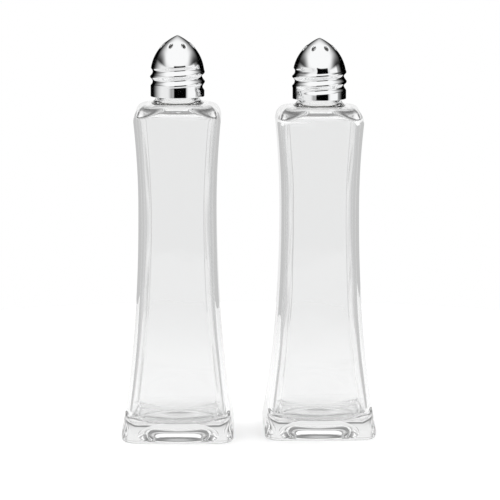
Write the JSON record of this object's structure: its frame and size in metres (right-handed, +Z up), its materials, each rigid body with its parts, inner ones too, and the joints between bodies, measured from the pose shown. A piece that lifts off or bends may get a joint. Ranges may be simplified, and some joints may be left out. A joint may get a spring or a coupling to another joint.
{
  "type": "salt and pepper shakers",
  "caption": "Tall flared square clear-glass salt and pepper shakers with pointed, perforated chrome screw caps that unscrew on a real thread.",
  "frame": {"origin": "on the table, under the middle of the pair's bounding box", "axes": "+Z up along the shakers' axes, +X from the salt shaker to the pepper shaker, +Y to the back"},
  "size_m": [0.104, 0.0519, 0.1653],
  "materials": {
    "bottle_glass": "clear moulded soda-lime glass, slightly wavy, fire polished",
    "cap_chrome": "bright mirror plating on a stamped sheet",
    "ring_seal": "soft off-white sealing washer"
  },
  "bodies": {
    "salt_bottle": {"salt_bottle": "bottle_glass"},
    "salt_seal": {"salt_sealing_ring": "ring_seal"},
    "salt_cap": {"salt_cap": "cap_chrome"},
    "pepper_bottle": {"pepper_bottle": "bottle_glass"},
    "pepper_seal": {"pepper_sealing_ring": "ring_seal"},
    "pepper_cap": {"pepper_cap": "cap_chrome"}
  },
  "joints": [
    {"name": "salt_cap_rise", "type": "slide", "parent": "salt_bottle", "child": "salt_seal", "axis": [0, 0, 1], "range_m": [0, 0.01401]},
    {"name": "salt_cap_turn", "type": "hinge", "parent": "salt_seal", "child": "salt_cap", "pos_m": [-0.02923, -0.00323, 0.15], "axis": [0, 0, 1], "range_deg": [0, 1260]},
    {"name": "pepper_lift", "type": "slide", "parent": "salt_bottle", "child": "pepper_bottle", "axis": [0, 0, 1], "range_m": [0, 0.18]},
    {"name": "pepper_cap_rise", "type": "slide", "parent": "pepper_bottle", "child": "pepper_seal", "axis": [0, 0, 1], "range_m": [0, 0.01401]},
    {"name": "pepper_cap_turn", "type": "hinge", "parent": "pepper_seal", "child": "pepper_cap", "pos_m": [0.02877, 0.00277, 0.148], "axis": [0, 0, 1], "range_deg": [0, 1260]}
  ],
  "couplings": [
    {"joint": "salt_cap_rise", "follows": "salt_cap_turn", "m_per_rad": 0.00063662},
    {"joint": "pepper_cap_rise", "follows": "pepper_cap_turn", "m_per_rad": 0.00063662}
  ]
}
